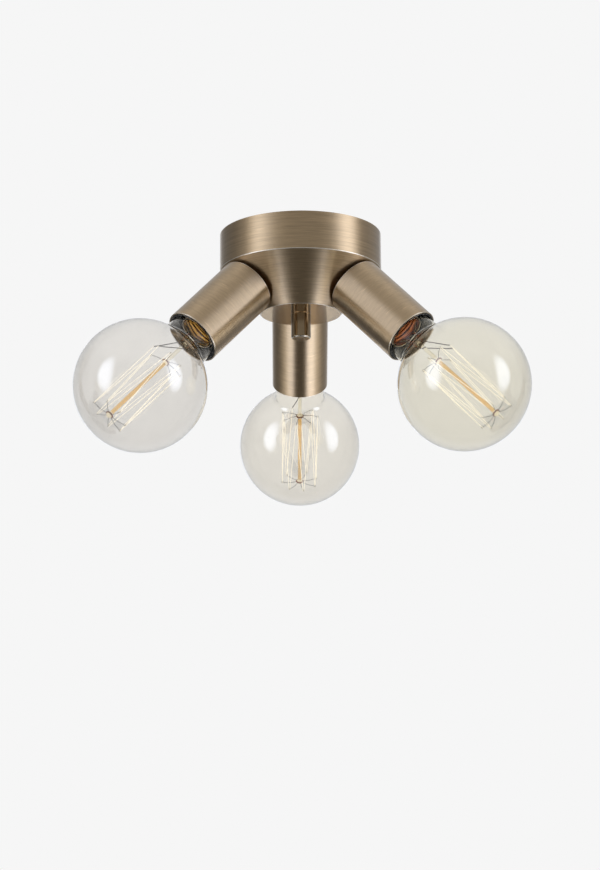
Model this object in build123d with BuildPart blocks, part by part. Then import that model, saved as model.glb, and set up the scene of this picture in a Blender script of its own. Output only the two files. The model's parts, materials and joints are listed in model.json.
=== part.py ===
from build123d import *
import os
from math import asin, atan2, cos, degrees, radians, sin, sqrt

# Semi flush ceiling light: a spun canopy, drum above and cone below, with three
# plain cups square to the cone, each holding a lampholder and a clear globe bulb.
# Origin: centre of the canopy's open rim, on the ceiling. +Z is up, so it all hangs
# below Z = 0. One lamp points to the back (+Y), two to the front. Millimetres.

# ---- driving dimensions -----------------------------------------------------

# canopy
canopy_radius = 60.0
drum_height = 28.0
cone_depth = 32.5
disc_radius = 29.5
sheet_wall = 1.0
edge_round = 0.8

# lamps, set out round the canopy
lamp_names = ["back", "left", "right"]
lamp_azimuths = [90, 210, 330]
lamp_droop = 1.8  # degrees steeper than square to the cone

# lamp cup
cup_radius = 21.3
cup_length = 64.3
cup_wall = 1.5
cup_floor = 3.0
cup_chamfer = 0.5

# M10 x 1 threaded tube, on the stud and at each lamp
tube_thread_radius = 4.95
tube_bore_radius = 3.5
thread_clearance = 0.1
hole_clearance = 0.4
nut_across_flats = 14.0
nut_thickness = 3.0
nipple_inside_canopy = 9.0
nipple_in_holder = 7.5
washer_radius = 8.5
washer_thickness = 0.8

# lampholder for an E27 cap
holder_radius = 19.2
holder_wall = 2.0
holder_neck_radius = 11.0
holder_neck_length = 5.0
holder_cap_length = 20.3
holder_cap_slope = 4.0
holder_cap_slope_inside = 3.0
insert_thickness = 6.0
insert_plug_length = 5.0
insert_plug_gap = 0.6
insert_hole_radius = 2.0
insert_hole_inset = 4.0
insert_hole_floor = 2.0
shell_clearance = 0.15
shell_wall = 0.4
shell_length = 24.5
skirt_overlap = 10.0
skirt_mouth_radius = 14.8
skirt_mouth_depth = 3.5
skirt_past_cap = 1.4  # the skirt ends this far beyond the bulb cap's rim
holder_thread_gap = 0.3
contact_strip_width = 5.0
contact_strip_thickness = 0.4
contact_gap = 0.3
contact_spring = 1.0  # what the strip rises above its foot
contact_foot_end = 8.0
contact_bend_start = 3.0
contact_free_end = 4.0
contact_bevel = 0.3

# globe bulb, 95 mm, clear glass
bulb_radius = 47.5
bulb_length = 138.0
glass_wall = 0.8
neck_radius = 19.0
neck_mid_radius = 18.3
neck_root_radius = 12.4
neck_height = 7.0  # from the cap's rim to where the neck is nearly straight
neck_round = 6.0
cap_radius = 13.1
cap_skirt_radius = 13.4
cap_sheet = 0.4
cap_length = 27.0
cap_skirt_length = 3.2
cap_contact_radius = 4.8
cap_contact_height = 1.2
cap_insulator_height = 3.6
cap_root_taper = 1.9
cap_root_height = 2.0
neck_in_cap = 2.2

# wire filament on its glass stem
cage_radius = 14.0
cage_above = 31.0  # from the globe's centre towards the cap
cage_below = 34.0
cage_runs = 14
filament_radius = 0.25
filament_bridge = 1.5
support_radius = 0.2
stem_rod_radius = 1.5
stem_hub_radius = 2.5
stem_hub_length = 3.0
stem_press_radius = 4.0
stem_press_height = 48.7  # above the globe's centre
lead_in_radius = 0.3
lead_in_spread = 3.0
lead_in_bend = 1.2

# finial, a plain cylinder nut that holds the canopy up
finial_radius = 7.0
finial_length = 19.5
finial_bore_depth = 16.5
finial_chamfer = 0.8

# ceiling bracket, a hat-shaped steel strap
bracket_end_gap = 3.0  # between the strap's ends and the drum's wall
bracket_width = 22.0
bracket_thickness = 2.0
bracket_drop = 7.5
bracket_joggle = 5.0
bracket_bend = 2.5
bracket_corner = 5.0
slot_end_margin = 9.0
slot_land = 3.5  # between a slot and the joggle
slot_length = 11.0
slot_width = 5.0
stud_end_clearance = 1.0

# terminal block under the bracket, and its brass
block_width = 17.0
block_base = 8.5
block_height = 14.0
block_end_gap = 0.5
block_end_wall = 5.5
block_corner = 1.5
block_screw_play = 0.2
pole_pitch = 9.5
pole_tower = 7.6
sleeve_radius = 2.9
sleeve_bore = 2.45
sleeve_length = 13.0
sleeve_below_middle = 2.5
clamp_screw_radius = 1.4
clamp_screw_head = 1.9
clamp_screw_spread = 3.7
clamp_head_height = 1.6
clamp_slot_width = 0.6
clamp_slot_land = 0.2
clamp_tip_short = 1.0  # the screw ends this far below the sleeve's middle
fixing_radius = 1.45

# earth screw in the bracket
earth_end_margin = 12.0
earth_screw_radius = 1.95
earth_head_radius = 4.0
earth_head_height = 2.4
earth_washer_radius = 4.6
earth_washer_thickness = 0.8
earth_screw_past = 2.0
earth_slot_width = 0.9
earth_slot_land = 1.0
earth_slot_depth = 0.2

# leads inside the canopy, one live and one neutral to each lamp, and the earth
lead_radius = 1.1
lead_core_radius = 0.5
lead_bend = 2.6
lead_in_nipple = 1.3  # each lead's offset from the lamp's axis
lead_past_nipple = 7.0
lead_turn_past_nipple = 2.4
lead_slope_in_holder = 2.8
lead_end_gap = 0.5  # from the bottom of its hole in the insert
lead_strip = 0.6  # the insulation ends this far before the sleeve
lead_core_reach = 5.5  # of the bare core into the sleeve
lead_riser = 4.9  # from the block's face to the nearer leads' rise
lead_riser_step = 2.6
ring_thickness = 0.8
ring_radius = 4.2
ring_barrel_radius = 1.7
ring_barrel_length = 5.0
ring_tongue_width = 3.2
ring_tongue_reach = 5.6  # from the screw's axis to the barrel
ring_turn = 30.0  # the tongue points this far off the strap's length
ring_overlap = 0.6
ring_lead_run = 7.0
ring_lead_drop = 2.7
earth_lead_lift = 0.6  # above the middle of its sleeve

seat_gap = 0.05  # between pieces that bear on each other

# ---- derived places ---------------------------------------------------------

disc_z = -(drum_height + cone_depth)
cone_slope = degrees(atan2(cone_depth, canopy_radius - disc_radius))
lamp_angle = 90 - cone_slope + lamp_droop
lamp_seat_r = (canopy_radius + disc_radius) / 2
lamp_seat_z = -(drum_height + cone_depth / 2)
nut_corner = nut_across_flats / sqrt(3)
tube_hole = tube_thread_radius + hole_clearance

# distances along a lamp's axis, outwards from the middle of the cone's side
cup_start = cup_radius * sin(radians(lamp_droop)) + seat_gap
holder_start = cup_start + cup_floor
holder_cap_end = holder_start + holder_cap_length
insert_face = holder_cap_end + insert_thickness
skirt_start = holder_cap_end - skirt_overlap
cap_tip = insert_face + 2 * contact_strip_thickness + contact_spring + contact_gap
bulb_centre = cap_tip + bulb_length - bulb_radius
cap_rim = cap_tip + cap_length
skirt_end = cap_rim + skirt_past_cap
cap_shell_start = cap_tip + cap_contact_height + cap_insulator_height - 0.4
cage_top = bulb_centre - cage_above
cage_bottom = bulb_centre + cage_below
press_end = bulb_centre - stem_press_height

# the flat washer meets the hollow side of the cone at its two sides first
cone_inner_curve = (lamp_seat_r - sheet_wall) / cos(radians(90 - cone_slope))
washer_sagitta = cone_inner_curve - sqrt(cone_inner_curve**2 - washer_radius**2)
washer_tilt = washer_radius * sin(radians(lamp_droop))
washer_face = -(sheet_wall + washer_sagitta + washer_tilt + seat_gap)
nut_face = washer_face - washer_thickness
nipple_end = holder_start + nipple_in_holder
insert_hole_r = holder_radius - 2 * holder_wall - insert_plug_gap - insert_hole_inset

bracket_length = 2 * (canopy_radius - sheet_wall - bracket_end_gap)
slot_spacing = bracket_length - 2 * slot_end_margin
bracket_flat = slot_spacing - slot_length - 2 * (bracket_joggle + slot_land)
bracket_under = -(bracket_drop + bracket_thickness)
stud_bottom = disc_z - finial_bore_depth + stud_end_clearance
stud_top = -bracket_drop + nut_thickness + 1.0
block_under = bracket_under - block_height
block_length = 2 * (pole_pitch + block_end_wall)
block_centre_x = -(bracket_flat / 2 - block_end_gap - block_width / 2)
earth_x = bracket_flat / 2 - earth_end_margin
sleeve_z = bracket_under - block_base / 2 - sleeve_below_middle


def lamp_plane(azimuth):
    """Square to a lamp's axis at the cone: Z along the axis, X up and outwards."""
    around, down = radians(azimuth), radians(lamp_angle)
    out = Vector(cos(around), sin(around), 0)
    origin = out * lamp_seat_r + Vector(0, 0, lamp_seat_z)
    axis = out * cos(down) - Vector(0, 0, sin(down))
    up = out * sin(down) + Vector(0, 0, cos(down))
    return Plane(origin=origin, x_dir=up, z_dir=axis)


def section_plane(lamp):
    """Through a lamp's axis: X is the radius, Y the distance along the axis."""
    return Plane(origin=lamp.origin, x_dir=lamp.x_dir, z_dir=lamp.x_dir.cross(lamp.z_dir))


def lamp_axis(lamp):
    return Axis(lamp.origin, lamp.z_dir)


# ---- ceiling side -----------------------------------------------------------

def make_bracket():
    half = bracket_length / 2
    middle = -bracket_thickness / 2
    low = middle - bracket_drop
    flat = bracket_flat / 2
    with BuildPart() as bracket:
        with BuildSketch(Plane.XZ):
            with BuildLine():
                FilletPolyline(
                    (-half, middle),
                    (-flat - bracket_joggle, middle),
                    (-flat, low),
                    (flat, low),
                    (flat + bracket_joggle, middle),
                    (half, middle),
                    radius=bracket_bend,
                )
            trace(line_width=bracket_thickness)
        extrude(amount=bracket_width / 2, both=True)
        ends = bracket.edges().filter_by(Axis.Z).group_by(lambda e: abs(e.center().X))[-1]
        fillet(ends, bracket_corner)
        with BuildSketch():
            with GridLocations(slot_spacing, 0, 2, 1):
                SlotOverall(slot_length, slot_width)
            Circle(tube_hole)
            with Locations((earth_x, 0)):
                Circle(earth_screw_radius + thread_clearance)
            with Locations(
                (block_centre_x, pole_pitch / 2), (block_centre_x, -pole_pitch / 2)
            ):
                Circle(fixing_radius + thread_clearance)
        extrude(amount=-bracket_drop - 2 * bracket_thickness, mode=Mode.SUBTRACT)
    return bracket.part


def make_stud():
    with BuildPart() as stud:
        with BuildSketch(Plane.XY.offset(stud_bottom)):
            Circle(tube_thread_radius)
            Circle(tube_bore_radius, mode=Mode.SUBTRACT)
        extrude(amount=stud_top - stud_bottom)
    return stud.part


def make_stud_nuts():
    with BuildPart() as nuts:
        for face in (-bracket_drop, bracket_under - nut_thickness):
            with BuildSketch(Plane.XY.offset(face)):
                RegularPolygon(nut_corner, 6)
                Circle(tube_thread_radius + thread_clearance, mode=Mode.SUBTRACT)
            extrude(amount=nut_thickness)
    return nuts.part


def make_terminal_block():
    with BuildPart() as block:
        with BuildSketch(Plane.XY.offset(bracket_under)):
            with Locations((block_centre_x, 0)):
                RectangleRounded(block_width, block_length, block_corner)
        extrude(amount=-block_base)
        with BuildSketch(Plane.XY.offset(bracket_under - block_base)):
            with Locations((block_centre_x, 0)):
                with GridLocations(0, pole_pitch, 1, 3):
                    RectangleRounded(block_width, pole_tower, block_corner)
        extrude(amount=block_base - block_height)
        # way in for the wires, right through each pole
        with BuildSketch(Plane.YZ.offset(block_centre_x - block_width / 2)):
            with Locations((0, sleeve_z)):
                with GridLocations(pole_pitch, 0, 3, 1):
                    Circle(sleeve_radius + seat_gap)
        extrude(amount=block_width, mode=Mode.SUBTRACT)
        with BuildSketch(Plane.XY.offset(block_under)):
            with Locations((block_centre_x, 0)):
                with GridLocations(2 * clamp_screw_spread, pole_pitch, 2, 3):
                    Circle(clamp_screw_head + block_screw_play)
        extrude(amount=sleeve_z - block_under, mode=Mode.SUBTRACT)
        with BuildSketch(Plane.XY.offset(block_under)):
            with Locations((block_centre_x, 0)):
                with GridLocations(0, pole_pitch, 1, 2):
                    Circle(fixing_radius + block_screw_play)
        extrude(amount=block_height, mode=Mode.SUBTRACT)
    return block.part


def make_terminal_sleeves():
    with BuildPart() as sleeves:
        with BuildSketch(Plane.YZ.offset(block_centre_x - sleeve_length / 2)):
            with Locations((0, sleeve_z)):
                with GridLocations(pole_pitch, 0, 3, 1):
                    Circle(sleeve_radius)
                    Circle(sleeve_bore, mode=Mode.SUBTRACT)
        extrude(amount=sleeve_length)
        with BuildSketch(Plane.XY.offset(block_under)):
            with Locations((block_centre_x, 0)):
                with GridLocations(2 * clamp_screw_spread, pole_pitch, 2, 3):
                    Circle(clamp_screw_radius + seat_gap)
        extrude(amount=sleeve_z - block_under, mode=Mode.SUBTRACT)
    return sleeves.part


def make_clamp_screws():
    shank_top = sleeve_z - clamp_tip_short
    head_top = sleeve_z - sleeve_radius - 1.2
    with BuildPart() as screws:
        with BuildSketch(Plane.XY.offset(head_top)):
            with Locations((block_centre_x, 0)):
                with GridLocations(2 * clamp_screw_spread, pole_pitch, 2, 3):
                    Circle(clamp_screw_radius)
        extrude(amount=shank_top - head_top)
        with BuildSketch(Plane.XY.offset(head_top)):
            with Locations((block_centre_x, 0)):
                with GridLocations(2 * clamp_screw_spread, pole_pitch, 2, 3):
                    Circle(clamp_screw_head)
                    slot = 2 * (clamp_screw_head - clamp_slot_land)
                    Rectangle(slot, clamp_slot_width, mode=Mode.SUBTRACT)
        extrude(amount=-clamp_head_height)
    return screws.part


def make_block_screws():
    head_top = bracket_under - block_base
    with BuildPart() as screws:
        with BuildSketch(Plane.XY.offset(head_top - seat_gap)):
            with Locations((block_centre_x, 0)):
                with GridLocations(0, pole_pitch, 1, 2):
                    Circle(fixing_radius)
        extrude(amount=block_base + bracket_thickness + 1.5)
    return screws.part


def make_earth_screw():
    washer_under = bracket_under - ring_thickness - earth_washer_thickness
    with BuildPart() as screw:
        with BuildSketch(Plane.XY.offset(washer_under - seat_gap)):
            with Locations((earth_x, 0)):
                Circle(earth_head_radius)
        extrude(amount=-earth_head_height)
        fillet(screw.edges().sort_by(Axis.Z)[0], 0.8)
        with BuildSketch(Plane.XY.offset(washer_under - seat_gap)):
            with Locations((earth_x, 0)):
                Circle(earth_screw_radius)
        extrude(amount=ring_thickness + earth_washer_thickness + bracket_thickness + earth_screw_past)
        with BuildSketch(Plane.XY.offset(washer_under - earth_head_height)):
            with Locations((earth_x, 0)):
                slot = 2 * (earth_head_radius - earth_slot_land)
                Rectangle(slot, earth_slot_width)
                Rectangle(earth_slot_width, slot)
        extrude(amount=-seat_gap - earth_slot_depth, both=True, mode=Mode.SUBTRACT)
    return screw.part


def make_earth_washer():
    with BuildPart() as washer:
        with BuildSketch(Plane.XY.offset(bracket_under - ring_thickness)):
            with Locations((earth_x, 0)):
                Circle(earth_washer_radius)
                Circle(earth_screw_radius + thread_clearance, mode=Mode.SUBTRACT)
        extrude(amount=-earth_washer_thickness)
    return washer.part


# ---- canopy and finial ------------------------------------------------------

def make_canopy(lamps):
    with BuildPart() as canopy:
        with BuildSketch(Plane.XZ):
            with BuildLine():
                Polyline(
                    (0, 0),
                    (canopy_radius, 0),
                    (canopy_radius, -drum_height),
                    (disc_radius, disc_z),
                    (0, disc_z),
                    close=True,
                )
            make_face()
        revolve(axis=Axis.Z)
        rims = canopy.edges().filter_by(GeomType.CIRCLE).sort_by(Axis.Z)[:2]
        fillet(rims, edge_round)
        rim_face = canopy.faces().sort_by(Axis.Z)[-1]
        offset(amount=-sheet_wall, openings=rim_face)
        with BuildSketch(Plane.XY.offset(disc_z)):
            Circle(tube_hole)
        extrude(amount=2 * sheet_wall, mode=Mode.SUBTRACT)
        for lamp in lamps:
            with BuildSketch(lamp):
                Circle(tube_hole)
            extrude(amount=3 * sheet_wall, both=True, mode=Mode.SUBTRACT)
    return canopy.part


def make_finial():
    with BuildPart() as finial:
        with BuildSketch(Plane.XY.offset(disc_z)):
            Circle(finial_radius)
        extrude(amount=-finial_length)
        chamfer(finial.edges().sort_by(Axis.Z)[0], finial_chamfer)
        with BuildSketch(Plane.XY.offset(disc_z)):
            Circle(tube_thread_radius + thread_clearance)
        extrude(amount=-finial_bore_depth, mode=Mode.SUBTRACT)
    return finial.part


# ---- lamps ------------------------------------------------------------------

def make_cup(lamp):
    with BuildPart() as cup:
        with BuildSketch(lamp.offset(cup_start)):
            Circle(cup_radius)
        extrude(amount=cup_length)
        ends = cup.edges().filter_by(GeomType.CIRCLE)
        chamfer(ends, cup_chamfer)
        with BuildSketch(lamp.offset(cup_start + cup_floor)):
            Circle(cup_radius - cup_wall)
        extrude(amount=cup_length, mode=Mode.SUBTRACT)
        with BuildSketch(lamp.offset(cup_start)):
            Circle(tube_hole)
        extrude(amount=cup_floor, mode=Mode.SUBTRACT)
    return cup.part


def make_nipples(lamps):
    with BuildPart() as nipples:
        for lamp in lamps:
            with BuildSketch(lamp.offset(-nipple_inside_canopy)):
                Circle(tube_thread_radius)
                Circle(tube_bore_radius, mode=Mode.SUBTRACT)
            extrude(amount=nipple_inside_canopy + nipple_end)
    return nipples.part


def make_lock_washers(lamps):
    with BuildPart() as washers:
        for lamp in lamps:
            with BuildSketch(lamp.offset(nut_face)):
                Circle(washer_radius)
                Circle(tube_thread_radius + thread_clearance, mode=Mode.SUBTRACT)
            extrude(amount=washer_thickness)
    return washers.part


def make_lock_nuts(lamps):
    with BuildPart() as nuts:
        for lamp in lamps:
            with BuildSketch(lamp.offset(nut_face - nut_thickness)):
                RegularPolygon(nut_corner, 6)
                Circle(tube_thread_radius + thread_clearance, mode=Mode.SUBTRACT)
            extrude(amount=nut_thickness - seat_gap)
    return nuts.part


def make_holder_cap(lamp):
    outer = holder_radius - holder_wall - holder_thread_gap
    bore = tube_thread_radius + thread_clearance
    inside = holder_start + holder_neck_length + holder_cap_slope_inside
    with BuildPart() as cap:
        with BuildSketch(section_plane(lamp)):
            with BuildLine():
                Polyline(
                    (bore, holder_start + seat_gap),
                    (holder_neck_radius, holder_start + seat_gap),
                    (holder_neck_radius, holder_start + holder_neck_length),
                    (outer, holder_start + holder_neck_length + holder_cap_slope),
                    (outer, holder_cap_end - seat_gap),
                    (outer - holder_wall, holder_cap_end - seat_gap),
                    (outer - holder_wall, inside + holder_cap_slope_inside),
                    (bore, inside),
                    close=True,
                )
            make_face()
        revolve(axis=lamp_axis(lamp))
    return cap.part


def make_holder_insert(lamp):
    flange = holder_radius - holder_wall - 0.2
    plug = holder_radius - 2 * holder_wall - insert_plug_gap
    with BuildPart() as insert:
        with BuildSketch(lamp.offset(holder_cap_end)):
            Circle(flange)
        extrude(amount=insert_thickness)
        with BuildSketch(lamp.offset(holder_cap_end)):
            Circle(plug)
        extrude(amount=-insert_plug_length)
        # two ways through for the leads to the terminals
        with BuildSketch(lamp.offset(holder_cap_end - insert_plug_length)):
            with PolarLocations(insert_hole_r, 2):
                Circle(insert_hole_radius)
        extrude(
            amount=insert_plug_length + insert_thickness - insert_hole_floor,
            mode=Mode.SUBTRACT,
        )
    return insert.part


def make_holder_skirt(lamp):
    inner = holder_radius - holder_wall
    shoulder = inner - 0.8
    with BuildPart() as skirt:
        with BuildSketch(section_plane(lamp)):
            with BuildLine():
                Polyline(
                    (holder_radius, skirt_start),
                    (holder_radius, skirt_end),
                    (skirt_mouth_radius, skirt_end),
                    (skirt_mouth_radius, skirt_end - skirt_mouth_depth),
                    (shoulder, skirt_end - skirt_mouth_depth),
                    (shoulder, insert_face + seat_gap),
                    (inner, insert_face + seat_gap),
                    (inner, skirt_start),
                    close=True,
                )
            make_face()
        revolve(axis=lamp_axis(lamp))
        mouth = skirt.edges().filter_by(GeomType.CIRCLE).sort_by(lamp_axis(lamp))[-2:]
        chamfer(mouth, 0.6)
    return skirt.part


def make_screw_shell(lamp):
    inner = cap_radius + shell_clearance
    outer = inner + shell_wall
    with BuildPart() as shell:
        with BuildSketch(section_plane(lamp)):
            with BuildLine():
                Polyline(
                    (outer, insert_face),
                    (outer, insert_face + shell_length),
                    (inner, insert_face + shell_length),
                    (inner, insert_face + shell_wall),
                    (inner - 3.0, insert_face + shell_wall),
                    (inner - 3.0, insert_face),
                    close=True,
                )
            make_face()
        revolve(axis=lamp_axis(lamp))
    return shell.part


def make_center_contact(lamp):
    """A bent strip: its foot lies on the insert, its free end under the bulb's tip."""
    foot = insert_face
    top = cap_tip - contact_gap
    thick = contact_strip_thickness
    with BuildPart() as strip:
        with BuildSketch(section_plane(lamp)):
            with BuildLine():
                Polyline(
                    (-contact_foot_end, foot),
                    (-contact_bend_start, foot),
                    (0.0, top - thick),
                    (contact_free_end, top - thick),
                    (contact_free_end, top),
                    (-contact_bevel, top),
                    (-contact_bend_start - contact_bevel, foot + thick),
                    (-contact_foot_end, foot + thick),
                    close=True,
                )
            make_face()
        extrude(amount=contact_strip_width / 2, both=True)
    return strip.part


# ---- bulbs ------------------------------------------------------------------

def add_globe_outline(inset, start, mode):
    """Half the globe's outline, its neck's end at start and its wall moved in by inset."""
    sphere = bulb_radius - inset
    neck, mid, root = (r - inset for r in (neck_radius, neck_mid_radius, neck_root_radius))
    neck_mid = cap_rim + neck_height
    neck_top = bulb_centre - sqrt(sphere**2 - neck**2)
    arc_start = -degrees(asin((bulb_centre - neck_top) / sphere))
    with BuildSketch(mode=Mode.PRIVATE) as half:
        with BuildLine():
            Polyline(
                (0, bulb_centre + sphere),
                (0, start),
                (root, start),
                (root, cap_rim + 0.6),
                (mid, neck_mid),
                (neck, neck_top),
            )
            CenterArc((0, bulb_centre), sphere, arc_start, 90 - arc_start)
        make_face()
        fillet(half.vertices().sort_by_distance((neck, neck_top, 0))[0], neck_round + inset)
        fillet(half.vertices().sort_by_distance((mid, neck_mid, 0))[0], neck_round - inset)
    add(half.sketch, mode=mode)


def make_globe(lamp):
    neck_end = cap_rim - neck_in_cap
    with BuildPart() as globe:
        with BuildSketch(section_plane(lamp)):
            add_globe_outline(0, neck_end, Mode.ADD)
            add_globe_outline(glass_wall, neck_end - 1, Mode.SUBTRACT)
        revolve(axis=lamp_axis(lamp))
    return globe.part


def make_bulb_cap(lamp):
    skirt_start_s = cap_rim - cap_skirt_length
    root = cap_radius - cap_root_taper
    sheet = cap_sheet
    with BuildPart() as cap:
        with BuildSketch(section_plane(lamp)):
            with BuildLine():
                Polyline(
                    (root, cap_shell_start),
                    (cap_radius, cap_shell_start + cap_root_height),
                    (cap_radius, skirt_start_s),
                    (cap_skirt_radius, skirt_start_s + 0.5),
                    (cap_skirt_radius, cap_rim),
                    (cap_skirt_radius - sheet, cap_rim),
                    (cap_skirt_radius - sheet, skirt_start_s + 0.6),
                    (cap_radius - sheet, skirt_start_s + 0.1),
                    (cap_radius - sheet, cap_shell_start + 2.2),
                    (root - 0.3, cap_shell_start + 0.3),
                    close=True,
                )
            make_face()
        revolve(axis=lamp_axis(lamp))
    return cap.part


def make_cap_insulator(lamp):
    root = cap_radius - cap_root_taper
    start = cap_tip + cap_contact_height
    with BuildPart() as insulator:
        with BuildSketch(section_plane(lamp)):
            with BuildLine():
                Polyline(
                    (0, start),
                    (cap_contact_radius + 0.6, start),
                    (root - 0.4, cap_shell_start + 0.1),
                    (root - 1.5, cap_shell_start + cap_root_height),
                    (0, cap_shell_start + cap_root_height),
                    close=True,
                )
            make_face()
        revolve(axis=lamp_axis(lamp))
    return insulator.part


def make_cap_contact(lamp):
    with BuildPart() as contact:
        with BuildSketch(lamp.offset(cap_tip)):
            Circle(cap_contact_radius)
        extrude(amount=cap_contact_height)
        fillet(contact.edges().sort_by(lamp_axis(lamp))[0], 0.7)
    return contact.part


def make_stem(lamp):
    """Glass flare, pinched end, and the rod with a button at each end of the cage."""
    flare_radius = neck_root_radius - glass_wall - 0.1
    flare_start = cap_rim - 2.0
    hub = stem_hub_length / 2
    with BuildPart() as stem:
        with BuildSketch(section_plane(lamp)):
            with BuildLine():
                Polyline(
                    (flare_radius - glass_wall, flare_start),
                    (flare_radius, flare_start),
                    (stem_press_radius, press_end - 5.0),
                    (stem_press_radius, press_end),
                    (stem_rod_radius, press_end + 1.5),
                    (stem_rod_radius, cage_top - hub),
                    (stem_hub_radius, cage_top - hub + 0.5),
                    (stem_hub_radius, cage_top + hub - 0.5),
                    (stem_rod_radius, cage_top + hub),
                    (stem_rod_radius, cage_bottom - hub),
                    (stem_hub_radius, cage_bottom - hub + 0.5),
                    (stem_hub_radius, cage_bottom + hub - 0.5),
                    (0, cage_bottom + hub + 0.5),
                    (0, press_end - 6.0),
                    (stem_press_radius - glass_wall, press_end - 6.5),
                    close=True,
                )
            make_face()
        revolve(axis=lamp_axis(lamp))
    return stem.part


def cage_point(lamp, turn, height, radius=cage_radius):
    around = radians(turn)
    return lamp.from_local_coords((radius * cos(around), radius * sin(around), height))


def cage_turns():
    """The angle of each hook round the cage, from one lead to the other."""
    return [step * 360 / (cage_runs + 1) for step in range(cage_runs + 1)]


def make_filament(lamp):
    """One wire, up and down between the hooks, with a short bridge over each hook."""
    bridge = degrees(filament_bridge / 2 / cage_radius)
    bridge_lift = 2 * filament_radius + support_radius
    points = []
    for step, turn in enumerate(cage_turns()):
        top = step % 2 == 0
        height = cage_top - bridge_lift if top else cage_bottom + bridge_lift
        if step in (0, cage_runs):
            points.append(cage_point(lamp, turn, height))
        else:
            points.append(cage_point(lamp, turn - bridge, height))
            points.append(cage_point(lamp, turn + bridge, height))
    with BuildPart() as filament:
        with BuildLine():
            Polyline(*points)
        along = points[1] - points[0]
        with BuildSketch(Plane(origin=points[0], x_dir=lamp.x_dir, z_dir=along)):
            Rectangle(2 * filament_radius, 2 * filament_radius)
        sweep(transition=Transition.RIGHT)
    return filament.part


def make_supports(lamp):
    """Straight support wires from the two glass buttons out to the hooks."""
    reach = cage_radius + 0.6
    inner = stem_hub_radius + seat_gap
    with BuildPart() as supports:
        for step, turn in enumerate(cage_turns()):
            if step in (0, cage_runs):
                continue
            height = cage_top if step % 2 == 0 else cage_bottom
            start = cage_point(lamp, turn, height, inner)
            out = cage_point(lamp, turn, height, reach) - start
            with BuildSketch(Plane(origin=start, x_dir=lamp.z_dir, z_dir=out)):
                Rectangle(2 * support_radius, 2 * support_radius)
            extrude(amount=reach - inner)
    return supports.part


def make_lead_ins(lamp):
    """Two stiff wires from the pinch out to the filament's two ends."""
    start = press_end + lead_in_spread / 4
    height = cage_top - 2 * filament_radius - support_radius
    reach = cage_radius - filament_radius - seat_gap
    first, last = cage_turns()[0], cage_turns()[-1]
    straight = [
        lamp.from_local_coords((lead_in_spread, 0, start)),
        lamp.from_local_coords((lead_in_spread, 0, start + 3.0)),
        cage_point(lamp, first, height, reach - 3.0),
        cage_point(lamp, first, height, reach),
    ]
    round_the_rod = [
        lamp.from_local_coords((-lead_in_spread, 0, start)),
        lamp.from_local_coords((-lead_in_spread, 0, start + 3.0)),
        lamp.from_local_coords((0, -1.6 * lead_in_spread, start + 7.0)),
        cage_point(lamp, last, height, reach - 3.0),
        cage_point(lamp, last, height, reach),
    ]
    with BuildPart() as wires:
        add(wire(straight, lead_in_bend, lead_in_radius))
        add(wire(round_the_rod, lead_in_bend, lead_in_radius))
    return wires.part


# ---- leads inside the canopy ------------------------------------------------

def wire(points, bend, radius):
    """A round wire along straight runs joined by tangent arcs."""
    points = [Vector(point) for point in points]
    with BuildPart(mode=Mode.PRIVATE) as made:
        with BuildLine():
            FilletPolyline(*points, radius=bend)
        with BuildSketch(Plane(origin=points[0], z_dir=points[1] - points[0])):
            Circle(radius)
        sweep()
    return made.part


def lead_end(lamp, sense):
    """From the insert's hole back through the nipple and a little past it."""
    inside = nipple_end + lead_turn_past_nipple
    bottom = insert_face - insert_hole_floor - lead_end_gap
    near, far = sense * lead_in_nipple, sense * insert_hole_r
    local = [
        (far, 0, bottom),
        (far, 0, inside + lead_slope_in_holder),
        (near, 0, inside),
        (near, 0, -nipple_inside_canopy - lead_past_nipple),
    ]
    return [lamp.from_local_coords(point) for point in local]


# where each lead sits in its pole, as (across, up), which riser it takes, how low
# it dips before it rises, and what it goes round on the way
lead_places = {
    "live": {
        "back": (1.3, -0.35, 0, -27.0, []),
        "left": (-1.3, -0.35, 0, -26.0, []),
        "right": (0.0, 1.6, 1, -22.0, [(3.0, 10.5, -24.0)]),
    },
    "neutral": {
        "back": (1.3, -0.35, 0, -29.5, []),
        "left": (-1.3, -0.35, 0, -27.0, []),
        "right": (0.0, 1.6, 1, -22.0, [(3.0, -10.5, -24.0)]),
    },
}


def make_leads(pole, pole_y, sense):
    """One pole's three leads, each from a lamp's insert up into the terminal block."""
    face = block_centre_x + block_width / 2
    sleeve_face = block_centre_x + sleeve_length / 2
    strip_x = sleeve_face + lead_strip
    with BuildPart() as leads:
        for side, lamp in zip(lamp_names, lamp_planes):
            across, above, riser, dip, way = lead_places[pole][side]
            y, z = pole_y + across, sleeve_z + above
            rise_x = face + lead_riser + riser * lead_riser_step
            route = lead_end(lamp, sense) + way[::-1]
            route += [(rise_x, y, dip), (rise_x, y, z), (strip_x, y, z)]
            add(wire(route, lead_bend, lead_radius))
            with BuildSketch(Plane.YZ.offset(strip_x)):
                with Locations((y, z)):
                    Circle(lead_core_radius)
            extrude(amount=-lead_strip - lead_core_reach)
    return leads.part


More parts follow.
